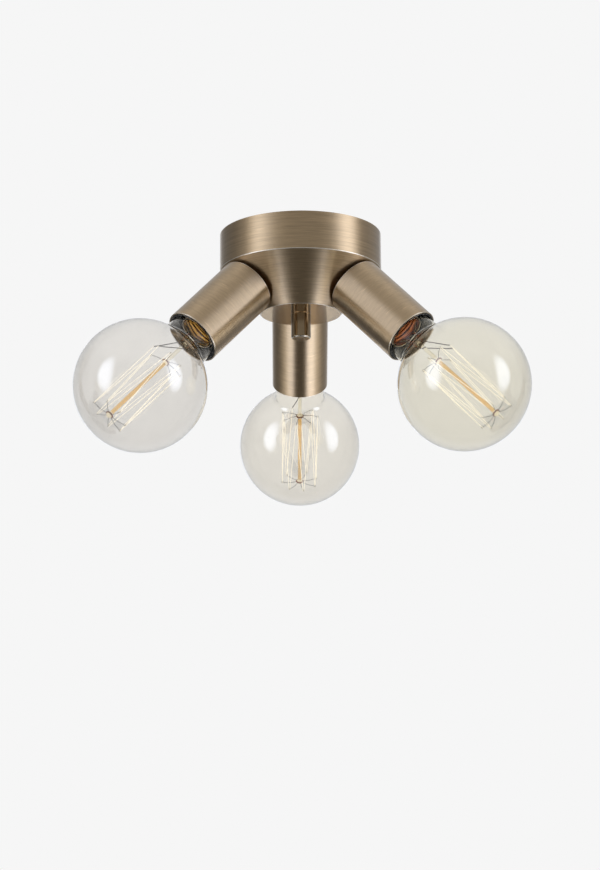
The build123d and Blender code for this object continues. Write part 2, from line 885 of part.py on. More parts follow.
def make_earth_lead():
    """From the block's middle pole round the stud to a ring under the earth screw."""
    level = sleeve_z + earth_lead_lift
    sleeve_face = block_centre_x + sleeve_length / 2
    strip_x = sleeve_face + lead_strip
    barrel_z = bracket_under - ring_barrel_radius - seat_gap
    toward = Vector(-cos(radians(ring_turn)), sin(radians(ring_turn)), 0)
    tongue = ring_tongue_reach + ring_overlap
    centre = Vector(earth_x, 0, 0)
    barrel_start = centre + toward * ring_tongue_reach
    barrel_end = barrel_start + toward * ring_barrel_length
    lead_level = Vector(0, 0, barrel_z)
    route = [
        (strip_x, 0, level),
        (-9.5, 0, level),
        (-3.5, 8.2, level),
        barrel_end + toward * ring_lead_run + lead_level - Vector(0, 0, ring_lead_drop),
        barrel_end - toward * ring_overlap + lead_level,
    ]
    with BuildPart() as lead:
        with BuildSketch(Plane.XY.offset(bracket_under)):
            with Locations((earth_x, 0)):
                Circle(ring_radius)
                with Locations(Location((0, 0, 0), (0, 0, 180 - ring_turn))):
                    with Locations((tongue / 2, 0)):
                        Rectangle(tongue, ring_tongue_width)
                Circle(earth_screw_radius + thread_clearance, mode=Mode.SUBTRACT)
        extrude(amount=-ring_thickness)
        barrel_foot = barrel_start + lead_level
        with BuildSketch(Plane(origin=barrel_foot, z_dir=toward)):
            Circle(ring_barrel_radius)
        extrude(amount=ring_barrel_length)
        add(wire(route, lead_bend, lead_radius))
        with BuildSketch(Plane.YZ.offset(strip_x)):
            with Locations((0, level)):
                Circle(lead_core_radius)
        extrude(amount=-lead_strip - lead_core_reach)
    return lead.part


parts = {}


def keep(name, part):
    part.label = name
    parts[name] = part


lamp_planes = [lamp_plane(azimuth) for azimuth in lamp_azimuths]

keep("ceiling_bracket", make_bracket())
keep("center_stud", make_stud())
keep("stud_nuts", make_stud_nuts())
keep("terminal_block", make_terminal_block())
keep("terminal_sleeves", make_terminal_sleeves())
keep("terminal_screws", make_clamp_screws())
keep("terminal_block_screws", make_block_screws())
keep("earth_screw", make_earth_screw())
keep("earth_washer", make_earth_washer())
keep("canopy_shell", make_canopy(lamp_planes))
keep("finial_nut", make_finial())
keep("lamp_nipples", make_nipples(lamp_planes))
keep("lamp_lock_washers", make_lock_washers(lamp_planes))
keep("lamp_lock_nuts", make_lock_nuts(lamp_planes))

for side, lamp in zip(lamp_names, lamp_planes):
    keep(f"cup_{side}", make_cup(lamp))
    keep(f"holder_cap_{side}", make_holder_cap(lamp))
    keep(f"holder_insert_{side}", make_holder_insert(lamp))
    keep(f"holder_skirt_{side}", make_holder_skirt(lamp))
    keep(f"screw_shell_{side}", make_screw_shell(lamp))
    keep(f"center_contact_{side}", make_center_contact(lamp))
    keep(f"globe_{side}", make_globe(lamp))
    keep(f"bulb_cap_{side}", make_bulb_cap(lamp))
    keep(f"cap_insulator_{side}", make_cap_insulator(lamp))
    keep(f"cap_contact_{side}", make_cap_contact(lamp))
    keep(f"stem_{side}", make_stem(lamp))
    keep(f"filament_{side}", make_filament(lamp))
    keep(f"filament_supports_{side}", make_supports(lamp))
    keep(f"lead_in_wires_{side}", make_lead_ins(lamp))

keep("live_leads", make_leads("live", pole_pitch, 1))
keep("neutral_leads", make_leads("neutral", -pole_pitch, -1))
keep("earth_lead", make_earth_lead())

os.makedirs("parts", exist_ok=True)
for name, part in parts.items():
    export_step(part, f"parts/{name}.step")
    print(f"{name}: {len(part.solids())} solid(s), {part.volume:.1f} mm3")
print(f"lamp angle {lamp_angle:.2f}, bulb centre {bulb_centre:.2f}, cap rim {cap_rim:.2f}")
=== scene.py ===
"""Semi flush ceiling light: the looks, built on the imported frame."""
import json
import math

import bpy
from mathutils import Matrix, Vector

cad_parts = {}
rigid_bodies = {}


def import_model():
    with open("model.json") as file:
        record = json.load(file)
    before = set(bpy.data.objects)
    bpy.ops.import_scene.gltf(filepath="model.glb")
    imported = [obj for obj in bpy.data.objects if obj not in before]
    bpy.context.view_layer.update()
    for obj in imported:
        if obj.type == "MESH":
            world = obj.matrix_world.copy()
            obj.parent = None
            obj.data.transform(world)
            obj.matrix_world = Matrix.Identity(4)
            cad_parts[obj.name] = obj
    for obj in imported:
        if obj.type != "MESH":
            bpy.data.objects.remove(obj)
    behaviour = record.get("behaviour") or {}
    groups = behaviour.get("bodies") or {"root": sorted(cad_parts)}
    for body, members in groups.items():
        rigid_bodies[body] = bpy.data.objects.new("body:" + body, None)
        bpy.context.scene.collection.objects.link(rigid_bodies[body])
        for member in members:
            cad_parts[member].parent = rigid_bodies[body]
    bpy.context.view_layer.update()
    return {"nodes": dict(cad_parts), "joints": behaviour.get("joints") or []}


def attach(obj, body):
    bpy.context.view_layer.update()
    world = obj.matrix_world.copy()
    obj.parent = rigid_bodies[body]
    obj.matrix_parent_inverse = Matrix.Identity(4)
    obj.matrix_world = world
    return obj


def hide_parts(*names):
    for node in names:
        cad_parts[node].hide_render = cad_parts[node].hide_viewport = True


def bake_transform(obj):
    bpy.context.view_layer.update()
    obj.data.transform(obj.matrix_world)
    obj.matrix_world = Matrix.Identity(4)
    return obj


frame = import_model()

MM = 0.001
SIDES = ("back", "left", "right")

# ---- the bulb's outline, in millimetres along the lamp's axis ----------------

BULB_R = 47.5
GLASS = 0.5
SPHERE_S = 122.62
CAP_RIM = 59.12
CAP_START = 36.52
CAP_R = 13.1
CAP_SKIRT_R = 13.4
CAP_SKIRT_LENGTH = 3.2
PRESS_S = 73.92
CAGE_TOP = 94.8
CAGE_BOTTOM = 156.0
CAGE_R = 14.0
CAGE_RUNS = 14
THREAD_PITCH = 3.629
NECK_S = 77.0
CUP_START = 0.72
CUP_END = 65.02
SHELL_START = 30.02
SHELL_END = 54.52
SHEET = 0.35

# thin parts inside the globe, radii in millimetres
ROD_R = 1.45
BEAD_R = 2.3
RING_R = 2.55
RING_WIRE_R = 0.5
FILAMENT_R = 0.23
HOOK_R = 0.19
LEAD_IN_R = 0.36
LEAD_IN_X = 3.2
SEAL_R = 0.45


# ---- nodes --------------------------------------------------------------------

class Tree:
    """A small helper round a node tree."""

    def __init__(self, owner):
        owner.use_nodes = True
        self.tree = owner.node_tree
        self.tree.nodes.clear()

    def add(self, kind, values=None, **settings):
        node = self.tree.nodes.new(kind)
        for key, value in settings.items():
            setattr(node, key, value)
        for key, value in (values or {}).items():
            if isinstance(value, bpy.types.NodeSocket):
                self.tree.links.new(value, node.inputs[key])
            else:
                node.inputs[key].default_value = value
        return node

    def math(self, operation, a, b=0.0):
        return self.add("ShaderNodeMath", {0: a, 1: b}, operation=operation).outputs[0]

    def vector(self, operation, a, b=(0, 0, 0), output=0):
        return self.add("ShaderNodeVectorMath", {0: a, 1: b}, operation=operation).outputs[output]

    def noise(self, vector, scale, detail=2.0, roughness=0.5):
        values = {"Vector": vector, "Scale": scale, "Detail": detail, "Roughness": roughness}
        return self.add("ShaderNodeTexNoise", values).outputs["Fac"]

    def span(self, value, low, high, out_low=0.0, out_high=1.0, smooth=False):
        values = {"Value": value, 1: low, 2: high, 3: out_low, 4: out_high}
        node = self.add("ShaderNodeMapRange", values)
        if smooth:
            node.interpolation_type = "SMOOTHSTEP"
        return node.outputs[0]

    def mix(self, factor, a, b):
        node = self.tree.nodes.new("ShaderNodeMix")
        node.data_type = "RGBA"
        for socket, value in ((node.inputs[0], factor), (node.inputs[6], a), (node.inputs[7], b)):
            if isinstance(value, bpy.types.NodeSocket):
                self.tree.links.new(value, socket)
            elif socket is node.inputs[0]:
                socket.default_value = value
            else:
                socket.default_value = (*value, 1) if len(value) == 3 else value
        return node.outputs[2]


def surface(name, colour, roughness, metallic=0.0, **sockets):
    """A Principled material, returned with its tree and shader for more nodes."""
    material = bpy.data.materials.new(name)
    t = Tree(material)
    out = t.add("ShaderNodeOutputMaterial")
    values = {"Base Color": (*colour, 1), "Roughness": roughness, "Metallic": metallic}
    values.update({key.replace("_", " "): value for key, value in sockets.items()})
    shader = t.add("ShaderNodeBsdfPrincipled", values)
    t.tree.links.new(shader.outputs[0], out.inputs[0])
    return material, t, shader


def wear(t, shader, colour, amount, scale, roughness=None):
    """Mottles a material's colour, and its roughness, by noise in the piece's own space."""
    fac = t.noise(t.add("ShaderNodeTexCoord").outputs["Object"], scale, 3.0)
    dark = tuple(c * (1 - amount) for c in colour)
    light = tuple(min(1.0, c * (1 + amount)) for c in colour)
    t.tree.links.new(t.mix(t.span(fac, 0.3, 0.7), dark, light), shader.inputs["Base Color"])
    if roughness:
        value = t.span(fac, 0.3, 0.7, roughness * 0.8, roughness * 1.2)
        t.tree.links.new(value, shader.inputs["Roughness"])


# brushing: noise scales per metre, and how far the streaks change round the axis
BRUSH_FINE = 2100.0
BRUSH_BROAD = 700.0
SCRATCHES = 1100.0
BRUSH_RUN = 0.0022
EDGE_BLEND = 0.06
# painted highlight: the near-white brass laid on rims and bevels as bright edge lines
PAINTED_EDGE_HIGHLIGHT = (1.0, 0.93, 0.80)


def brushed(name, colour, roughness, origin, axis, streak=0.1, anisotropic=0.9, edges=(), mirror=None):
    """Metal brushed round an axis: streaks and gloss run round it.

    edges are spans of the normal's share along the axis where a painted highlight lies: the colour turns
    near-white and the metal a little rougher;
    beyond mirror, that share is polished.
    """
    material, t, shader = surface(
        name, colour, roughness, 1.0, Anisotropic=anisotropic, Coat_Weight=0.9, Coat_Roughness=0.22
    )
    coords = t.add("ShaderNodeTexCoord")
    from_axis = t.vector("SUBTRACT", coords.outputs["Object"], tuple(origin))
    around = t.vector("CROSS_PRODUCT", tuple(axis), from_axis)
    meridian = t.vector("CROSS_PRODUCT", coords.outputs["Normal"], around)
    tangent = t.add(
        "ShaderNodeVectorTransform", {0: meridian},
        vector_type="VECTOR", convert_from="OBJECT", convert_to="WORLD",
    )
    t.tree.links.new(tangent.outputs[0], shader.inputs["Tangent"])
    along = t.vector("DOT_PRODUCT", from_axis, tuple(axis), 1)
    radius = t.vector("LENGTH", around, output=1)
    turn = t.vector("NORMALIZE", around)
    place = t.add("ShaderNodeCombineXYZ", {0: t.math("SUBTRACT", along, radius)})
    slow = t.add("ShaderNodeVectorMath", {0: turn}, operation="SCALE")
    slow.inputs[3].default_value = BRUSH_RUN
    where = t.vector("ADD", slow.outputs[0], place.outputs[0])
    fine = t.noise(where, BRUSH_FINE, 3.0, 0.6)
    broad = t.noise(where, BRUSH_BROAD, 2.0, 0.5)
    both = t.math("ADD", t.math("MULTIPLY", fine, 0.55), t.math("MULTIPLY", broad, 0.45))
    dark = tuple(c * (1 - streak) for c in colour)
    light = tuple(min(1.0, c * (1 + streak)) for c in colour)
    tint = t.mix(t.span(both, 0.38, 0.62), dark, light)
    scratch = t.span(t.noise(where, SCRATCHES, 1.0), 0.70, 0.78, 0.0, 0.5)
    tint = t.mix(scratch, tint, tuple(min(1.0, c * 1.7) for c in colour))
    rough = t.span(fine, 0.3, 0.7, roughness * 0.85, roughness * 1.15)
    facing = t.vector("DOT_PRODUCT", coords.outputs["Normal"], tuple(axis), 1)
    facing = t.math("ABSOLUTE", facing)
    # painted highlight: within each span the colour turns to near-white brass, a bright line along the
    # rim or bevel
    for low, high in edges:
        rising = t.span(facing, low, low + EDGE_BLEND)
        falling = t.span(facing, high - EDGE_BLEND, high, 1.0, 0.0)
        edge_highlight = t.math("MULTIPLY", rising, falling)
        tint = t.mix(edge_highlight, tint, PAINTED_EDGE_HIGHLIGHT)
        rough = t.math("ADD", rough, t.math("MULTIPLY", edge_highlight, 0.12))
    if mirror:
        polished = t.span(facing, mirror, mirror + 0.02)
        rough = t.math("MULTIPLY", rough, t.span(polished, 0.0, 1.0, 1.0, 0.14))
    t.tree.links.new(tint, shader.inputs["Base Color"])
    t.tree.links.new(rough, shader.inputs["Roughness"])
    return material


# ---- shapes ---------------------------------------------------------------------

joints = {joint["name"]: joint for joint in frame["joints"]}


def lamp_frame(side):
    """Z along the lamp's axis from the cone, X up and outwards, in metres."""
    joint = joints[f"bulb_{side}_turn"]
    axis = Vector(joint["axis"]).normalized()
    up = (Vector((0, 0, 1)) - axis * axis.z).normalized()
    across = axis.cross(up)
    turned = Matrix((up, across, axis)).transposed().to_4x4()
    turned.translation = Vector(joint["pos_m"])
    return turned


lamps = {side: lamp_frame(side) for side in SIDES}


def make_piece(name, points, faces, lamp, material, body, replaces=(), crease=35.0):
    """A mesh from points in millimetres, in a lamp's frame or in the row's."""
    mesh = bpy.data.meshes.new(name)
    placed = [Vector(p) * MM for p in points]
    if lamp is not None:
        placed = [lamp @ p for p in placed]
    mesh.from_pydata([tuple(p) for p in placed], [], faces)
    mesh.update()
    obj = bpy.data.objects.new(name, mesh)
    bpy.context.scene.collection.objects.link(obj)
    mesh.shade_smooth()
    mesh.set_sharp_from_angle(angle=math.radians(crease))
    mesh.materials.append(material)
    if body:
        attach(obj, body)
    if replaces:
        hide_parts(*replaces)
    return obj


def rounded(points, radii, step=6.0):
    """A polyline in 2-D with its inner corners rounded."""
    out = [points[0]]
    for i in range(1, len(points) - 1):
        p, a, b = (Vector((*q, 0)) for q in (points[i], points[i - 1], points[i + 1]))
        r = radii[i - 1]
        u, v = (a - p).normalized(), (b - p).normalized()
        turn = math.pi - u.angle(v)
        if r <= 0 or turn < 0.02:
            out.append(points[i])
            continue
        reach = r * math.tan(turn / 2)
        start, end = p + u * reach, p + v * reach
        centre = p + (u + v).normalized() * (r / math.cos(turn / 2))
        count = max(2, int(math.degrees(turn) / step) + 1)
        from_c, to_c = start - centre, end - centre
        for k in range(count + 1):
            f = k / count
            near, far = math.sin((1 - f) * turn) / math.sin(turn), math.sin(f * turn) / math.sin(turn)
            q = from_c * near + to_c * far
            out.append((centre.x + q.x, centre.y + q.y))
    out.append(points[-1])
    return out


def arc(centre, radius, start, end, count):
    """Points on an arc; angles in degrees from the radial direction towards +s."""
    return [
        (
            centre[0] + radius * math.cos(math.radians(start + (end - start) * k / count)),
            centre[1] + radius * math.sin(math.radians(start + (end - start) * k / count)),
        )
        for k in range(count + 1)
    ]


def spin(profile, sides=96, closed=False):
    """Points and faces of a profile of (radius, height) turned round Z."""
    points, faces, rows = [], [], []
    for radius, height in profile:
        if radius < 1e-6:
            rows.append([len(points)] * sides)
            points.append((0, 0, height))
        else:
            rows.append(list(range(len(points), len(points) + sides)))
            for k in range(sides):
                a = 2 * math.pi * k / sides
                points.append((radius * math.cos(a), radius * math.sin(a), height))
    count = len(rows)
    for i in range(count if closed else count - 1):
        low, high = rows[i], rows[(i + 1) % count]
        for k in range(sides):
            n = (k + 1) % sides
            ring = [low[k], low[n], high[n], high[k]]
            face = [v for j, v in enumerate(ring) if v != ring[j - 1]]
            if len(face) > 2:
                faces.append(face)
    return points, faces


def tube(path, radius, sides=8, tapers=None):
    """Points and faces of a closed round tube along a path of 3-D points."""
    path = [Vector(p) for p in path]
    points, faces = [], []
    heading = (path[1] - path[0]).normalized()
    side = heading.orthogonal().normalized()
    for i, p in enumerate(path):
        a = path[max(i - 1, 0)]
        b = path[min(i + 1, len(path) - 1)]
        ahead = (b - a).normalized()
        side = (side - ahead * side.dot(ahead)).normalized()
        other = ahead.cross(side)
        r = radius * (tapers[i] if tapers else 1)
        for k in range(sides):
            angle = 2 * math.pi * k / sides
            points.append(p + (side * math.cos(angle) + other * math.sin(angle)) * r)
    for i in range(len(path) - 1):
        for k in range(sides):
            n = (k + 1) % sides
            faces.append((i * sides + k, i * sides + n, (i + 1) * sides + n, (i + 1) * sides + k))
    faces.append(tuple(reversed(range(sides))))
    faces.append(tuple(range((len(path) - 1) * sides, len(path) * sides)))
    return points, faces


def joined(*pieces):
    """Several (points, faces) as one."""
    points, faces = [], []
    for some, more in pieces:
        base = len(points)
        points += list(some)
        faces += [tuple(v + base for v in face) for face in more]
    return points, faces


def loft(rings, sides=48):
    """Rings of (height, half width x, half width y, squareness) joined up, with closed ends."""
    points, faces = [], []
    for height, rx, ry, square in rings:
        power = 2.0 / square
        for k in range(sides):
            a = 2 * math.pi * k / sides
            c, s = math.cos(a), math.sin(a)
            points.append(
                (
                    rx * math.copysign(abs(c) ** power, c),
                    ry * math.copysign(abs(s) ** power, s),
                    height,
                )
            )
    for i in range(len(rings) - 1):
        for k in range(sides):
            n = (k + 1) % sides
            faces.append((i * sides + k, i * sides + n, (i + 1) * sides + n, (i + 1) * sides + k))
    faces.append(tuple(reversed(range(sides))))
    faces.append(tuple(range((len(rings) - 1) * sides, len(rings) * sides)))
    return points, faces


# ---- materials --------------------------------------------------------------------

BRASS = (0.45, 0.322, 0.185)
BRUSHED = 0.34
DOWN = (0, 0, -1)
# RIM_EDGES, and the spans given to the finial and the cups below, place painted highlights: near-white
# lines on rims and bevels
RIM_EDGES = ((0.12, 0.62), (0.72, 0.98))
materials = {}
materials["canopy"] = brushed(
    "brushed_brass_canopy", BRASS, BRUSHED, (0, 0, 0), DOWN, 0.16, edges=RIM_EDGES, mirror=0.975
)
materials["finial"] = brushed(
    "brushed_brass_finial", (0.32, 0.225, 0.12), 0.15, (0, 0, 0), DOWN, 0.08, 0.5, edges=((0.4, 0.9),)
)
for side, lamp in lamps.items():
    axis = tuple(lamp.col[2][:3])
    materials[f"cup_{side}"] = brushed(
        f"brushed_brass_cup_{side}", BRASS, BRUSHED, lamp.translation, axis, 0.10, edges=((0.3, 0.95),)
    )


def plain(name, colour, roughness, metallic=0.0, amount=0.06, scale=300.0, **sockets):
    """A mottled material of one colour."""
    material, t, shader = surface(name, colour, roughness, metallic, **sockets)
    wear(t, shader, colour, amount, scale, roughness)
    return material


materials["zinc"] = plain("zinc_plate", (0.72, 0.73, 0.75), 0.32, 1.0, 0.1, 500.0)
materials["plated"] = plain("yellow_zinc_plate", (0.74, 0.68, 0.52), 0.28, 1.0, 0.12, 400.0)
materials["block"] = plain("moulded_nylon", (0.80, 0.78, 0.72), 0.42, 0.0, 0.03, 200.0)
materials["terminal_brass"] = plain("terminal_brass", (0.80, 0.64, 0.36), 0.25, 1.0)
materials["terminal_steel"] = plain("terminal_steel", (0.70, 0.70, 0.72), 0.28, 1.0)
materials["black"] = plain("gloss_black_phenolic", (0.012, 0.012, 0.012), 0.16, 0.0, 0.2, 120.0)
materials["ceramic"] = plain("glazed_ceramic", (0.80, 0.78, 0.72), 0.18, 0.0, 0.03, 150.0)
materials["contact"] = plain("contact_brass", (0.78, 0.62, 0.34), 0.24, 1.0)
# the caps' brass with painted light and shade: the three caps are one and the same brass, each given its
# own hue and brightness for how it is lit inside its neck
CAP_LIT_BRASS = {"back": (0.80, 0.52, 0.26), "left": (0.84, 0.54, 0.17), "right": (0.68, 0.27, 0.14)}
for side in SIDES:
    materials[f"cap_{side}"] = plain(f"cap_brass_{side}", CAP_LIT_BRASS[side], 0.34, 1.0, 0.25, 260.0)
# painted highlight: the cap's rolled edge is coloured far paler than the cap's brass, so it shows as a
# bright line round the cap
materials["cap_rim"] = plain("cap_rim", (0.98, 0.84, 0.66), 0.35, 1.0, 0.05, 300.0)
materials["vitrite"] = plain("black_vitrite", (0.015, 0.012, 0.016), 0.12, 0.0, 0.2, 200.0)
materials["solder"] = plain("solder", (0.66, 0.66, 0.67), 0.30, 1.0, 0.1, 400.0)
# painted glow: the filament emits a little warm light though the bulb is not lit
materials["filament"] = plain(
    "filament_wire", (0.98, 0.93, 0.82), 0.5, 0.0, 0.04, 900.0,
    Emission_Color=(1.0, 0.90, 0.70, 1), Emission_Strength=0.5,
)
# painted glow: the hub beads emit a little warm light of their own
materials["bead"] = plain(
    "hub_bead", (0.95, 0.84, 0.62), 0.15, 0.0, 0.08, 500.0,
    Emission_Color=(1.0, 0.85, 0.6, 1), Emission_Strength=0.15,
)
materials["live"] = plain("brown_insulation", (0.16, 0.07, 0.035), 0.38, 0.0, 0.08, 400.0)
materials["neutral"] = plain("blue_insulation", (0.06, 0.17, 0.42), 0.38, 0.0, 0.08, 400.0)
materials["wire_copper"] = plain("bare_copper", (0.86, 0.46, 0.28), 0.25, 1.0, 0.1, 900.0)
materials["support"] = plain("support_wire", (0.06, 0.05, 0.045), 0.35, 0.0, 0.15, 700.0)
materials["lead_in"] = plain("lead_in_wire", (0.05, 0.04, 0.035), 0.3, 0.0, 0.15, 700.0)
materials["copper"] = plain("copper_bead", (0.22, 0.07, 0.03), 0.25, 0.0, 0.2, 700.0)


def glass(name, colour, ior=1.45, coat=0.0):
    """Clear glass; the coat stands for the sharp gloss of a thin blown wall."""
    material, t, shader = surface(
        name, colour, 0.0, 0.0,
        IOR=ior, Transmission_Weight=1.0, Coat_Weight=coat, Coat_IOR=1.8, Coat_Roughness=0.0,
    )
    wear(t, shader, colour, 0.012, 60.0)
    return material


# the glass's own slight warm grey, with painted shade: each of the three globes is tinted a little
# differently for how it is lit
GLOBE_TINT_AND_SHADE = {"back": (0.915, 0.895, 0.85), "left": (0.905, 0.89, 0.865), "right": (0.91, 0.89, 0.82)}
for side in SIDES:
    materials[f"globe_{side}"] = glass(f"globe_glass_{side}", GLOBE_TINT_AND_SHADE[side], coat=1.0)
for side in SIDES:
    materials[f"neck_{side}"] = glass(f"neck_glass_{side}", GLOBE_TINT_AND_SHADE[side], ior=1.25)
materials["flare"] = glass("flare_glass", (0.97, 0.90, 0.76), ior=1.12)
materials["stem"] = glass("stem_glass", (0.97, 0.93, 0.80))
materials["rod"] = glass("rod_glass", (0.99, 0.68, 0.30))


def earth_stripes():
    """Green insulation with one yellow stripe along it."""
    material, t, shader = surface("green_yellow_insulation", (0.06, 0.32, 0.08), 0.38)
    place = t.add("ShaderNodeTexCoord").outputs["Object"]
    normal = t.add("ShaderNodeSeparateXYZ", {0: t.add("ShaderNodeTexCoord").outputs["Normal"]})
    grain = t.noise(place, 500.0)
    stripe = t.span(t.math("ADD", normal.outputs[2], t.math("MULTIPLY", grain, 0.1)), 0.50, 0.62)
    t.tree.links.new(t.mix(stripe, (0.05, 0.30, 0.07), (0.82, 0.68, 0.06)), shader.inputs["Base Color"])
    t.tree.links.new(t.span(grain, 0.3, 0.7, 0.33, 0.43), shader.inputs["Roughness"])
    return material


materials["earth"] = earth_stripes()

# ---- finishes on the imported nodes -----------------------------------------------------

NODE_FINISH = {
    "ceiling_bracket": "zinc",
    "earth_screw": "zinc",
    "earth_washer": "zinc",
    "terminal_block_screws": "terminal_steel",
    "center_stud": "plated",
    "stud_nuts": "plated",
    "lamp_nipples": "plated",
    "lamp_lock_washers": "zinc",
    "lamp_lock_nuts": "plated",
    "terminal_block": "block",
    "terminal_sleeves": "terminal_brass",
    "terminal_screws": "terminal_steel",
    "canopy_shell": "canopy",
}
for side in SIDES:
    for node, finish in {
        "holder_cap": "black",
        "holder_insert": "ceramic",
        "center_contact": "contact",
        "cap_insulator": "vitrite",
        "cap_contact": "solder",
    }.items():
        NODE_FINISH[f"{node}_{side}"] = finish
for node, finish in NODE_FINISH.items():
    obj = frame["nodes"][node]
    for index in range(len(obj.material_slots)):
        obj.material_slots[index].link = "OBJECT"
        obj.material_slots[index].material = materials[finish]


# ---- bulbs ------------------------------------------------------------------------------

def globe_half(inset):
    """The outline from the neck's cut end to the pole, moved in by inset."""
    sphere = BULB_R - inset
    neck, mid, root = 19.0 - inset, 18.3 - inset, 12.4 - inset
    round_out, round_in = 6.0 + inset, 6.0 - inset
    # the round between neck and sphere is tangent to both
    slope = (neck - mid) / (SPHERE_S - math.sqrt(sphere**2 - neck**2) - (CAP_RIM + 7.0))
    s = SPHERE_S - math.sqrt(sphere**2 - neck**2)
    for _ in range(40):
        x = mid + slope * (s - CAP_RIM - 7.0) + round_out / math.cos(math.atan(slope))
        s = SPHERE_S - math.sqrt((sphere + round_out) ** 2 - x**2)
    centre = (x, s)
    touch = math.degrees(math.atan2(SPHERE_S - s, -x))
    neck_line = 180 - math.degrees(math.atan(slope))
    lower = rounded(
        [
            (root, CAP_RIM - 2.2),
            (root, CAP_RIM + 0.6),
            (mid, CAP_RIM + 7.0),
            (x - round_out / math.cos(math.atan(slope)), s - 0.3),
        ],
        [2.0 - inset, round_in],
        5.0,
    )
    bend = arc(centre, round_out, neck_line, touch, 14)
    first = -math.degrees(math.asin((SPHERE_S - s) / (sphere + round_out)))
    ball = arc((0, SPHERE_S), sphere, first, 90.0, 88)[1:]
    ball[-1] = (0.0, SPHERE_S + sphere)
    return lower[:-1] + bend + ball


def make_globe(side):
    """The blown globe, its neck in a glass of its own so that the cap shows through it."""
    outer, inner = globe_half(0.0), globe_half(GLASS)
    outer_points, outer_faces = spin(outer, 144)
    inner_points, inner_faces = spin(inner, 144)
    base = len(outer_points)
    faces = outer_faces + [tuple(v + base for v in reversed(f)) for f in inner_faces]
    for k in range(144):
        n = (k + 1) % 144
        faces.append((k, base + k, base + n, n))
    piece = make_piece(
        f"bulb_glass_{side}", outer_points + inner_points, faces, lamps[side], materials[f"globe_{side}"],
        body=f"bulb_{side}", replaces=(f"globe_{side}",),
    )
    piece.data.materials.append(materials[f"neck_{side}"])
    heights = [p[2] for p in outer_points + inner_points]
    for polygon in piece.data.polygons:
        polygon.material_index = int(max(heights[v] for v in polygon.vertices) < NECK_S)
    return piece


def thread_profile(phase):
    """0 at a thread's root and 1 at its crest."""
    return 0.5 - 0.5 * math.cos(2 * math.pi * phase)


def threaded(radius, start, end, sheet, sides=96, rise=0.3):
    """A thin turned shell whose outer radius is a function of height and angle."""
    steps = round((end - start) / rise)
    rows = [start + (end - start) * i / steps for i in range(steps + 1)]
    points, faces = [], []
    for offset in (0.0, sheet):
        for s in rows:
            for k in range(sides):
                a = 2 * math.pi * k / sides
                r = radius(s, a) - offset
                points.append((r * math.cos(a), r * math.sin(a), s))
    count = len(rows)
    for shell in range(2):
        base = shell * count * sides
        for i in range(count - 1):
            for k in range(sides):
                n = (k + 1) % sides
                low, high = base + i * sides, base + (i + 1) * sides
                face = (low + k, low + n, high + n, high + k)
                faces.append(face if shell == 0 else tuple(reversed(face)))
    top = count * sides
    for i in (0, count - 1):
        for k in range(sides):
            n = (k + 1) % sides
            face = (i * sides + k, i * sides + n, top + i * sides + n, top + i * sides + k)
            faces.append(tuple(reversed(face)) if i == 0 else face)
    return points, faces


def thread_depth(s, a, low, high):
    """How far the rolled thread lies under its crest, run out at low and high."""
    run_in = min(1.0, max(0.0, (s - low) / 1.5))
    run_out = min(1.0, max(0.0, (high - s) / 1.5))
    return 1.15 * run_in * run_out * (1 - thread_profile(s / THREAD_PITCH - a / (2 * math.pi)))


def make_cap(side):
    """The brass shell with its rolled thread."""

    def radius(s, a):
        r = CAP_R - thread_depth(s, a, CAP_START + 1.6, CAP_RIM - CAP_SKIRT_LENGTH - 0.4)
        r -= 1.9 * (1 - min(1.0, max(0.0, (s - CAP_START) / 1.6)))
        if s > CAP_RIM - CAP_SKIRT_LENGTH:
            r = CAP_SKIRT_R if s < CAP_RIM - 0.5 else CAP_SKIRT_R + 0.15
        return r

    points, faces = threaded(radius, CAP_START, CAP_RIM, SHEET)
    return make_piece(
        f"bulb_cap_shell_{side}", points, faces, lamps[side], materials[f"cap_{side}"],
        body=f"bulb_{side}", replaces=(f"bulb_cap_{side}",),
    )


def make_cap_rim(side):
    """The cap's rolled edge."""
    points, faces = spin(arc((13.3, CAP_RIM), 0.38, 0, 345, 23), 96, True)
    return make_piece(
        f"bulb_cap_rim_{side}", points, faces, lamps[side], materials["cap_rim"],
        body=f"bulb_{side}",
    )


def make_screw_shell(side):
    """The holder's rolled shell, in step with the cap's thread, and its folded foot."""

    def radius(s, a):
        return CAP_R + 0.5 - thread_depth(s, a, SHELL_START + 4.0, SHELL_END - 0.6)

    wall = threaded(radius, SHELL_START, SHELL_END, SHEET)
    outside, inside, top = CAP_R + 0.2, 10.2, SHELL_START + SHEET
    foot = spin([(outside, SHELL_START), (inside, SHELL_START), (inside, top), (outside, top)], 96, True)
    points, faces = joined(wall, foot)
    return make_piece(
        f"holder_screw_shell_{side}", points, faces, lamps[side], materials["contact"],
        body="canopy", replaces=(f"screw_shell_{side}",),
    )


def make_cup(side):
    """The turned cup: closed back, thin wall, small bevels."""
    profile = [
        (5.4, CUP_START), (20.8, CUP_START), (21.15, CUP_START + 0.15), (21.3, CUP_START + 0.5),
        (21.3, CUP_END - 0.35), (21.2, CUP_END - 0.1), (20.95, CUP_END), (20.6, CUP_END),
        (20.4, CUP_END - 0.12), (20.35, CUP_END - 0.4), (20.35, CUP_END - 3.0), (19.8, CUP_END - 7.0),
        (19.8, CUP_START + 3.5), (19.3, CUP_START + 3.0), (5.4, CUP_START + 3.0),
    ]
    points, faces = spin(profile, 160, True)
    return make_piece(
        f"cup_shell_{side}", points, faces, lamps[side], materials[f"cup_{side}"],
        body="canopy", replaces=(f"cup_{side}",), crease=20.0,
    )


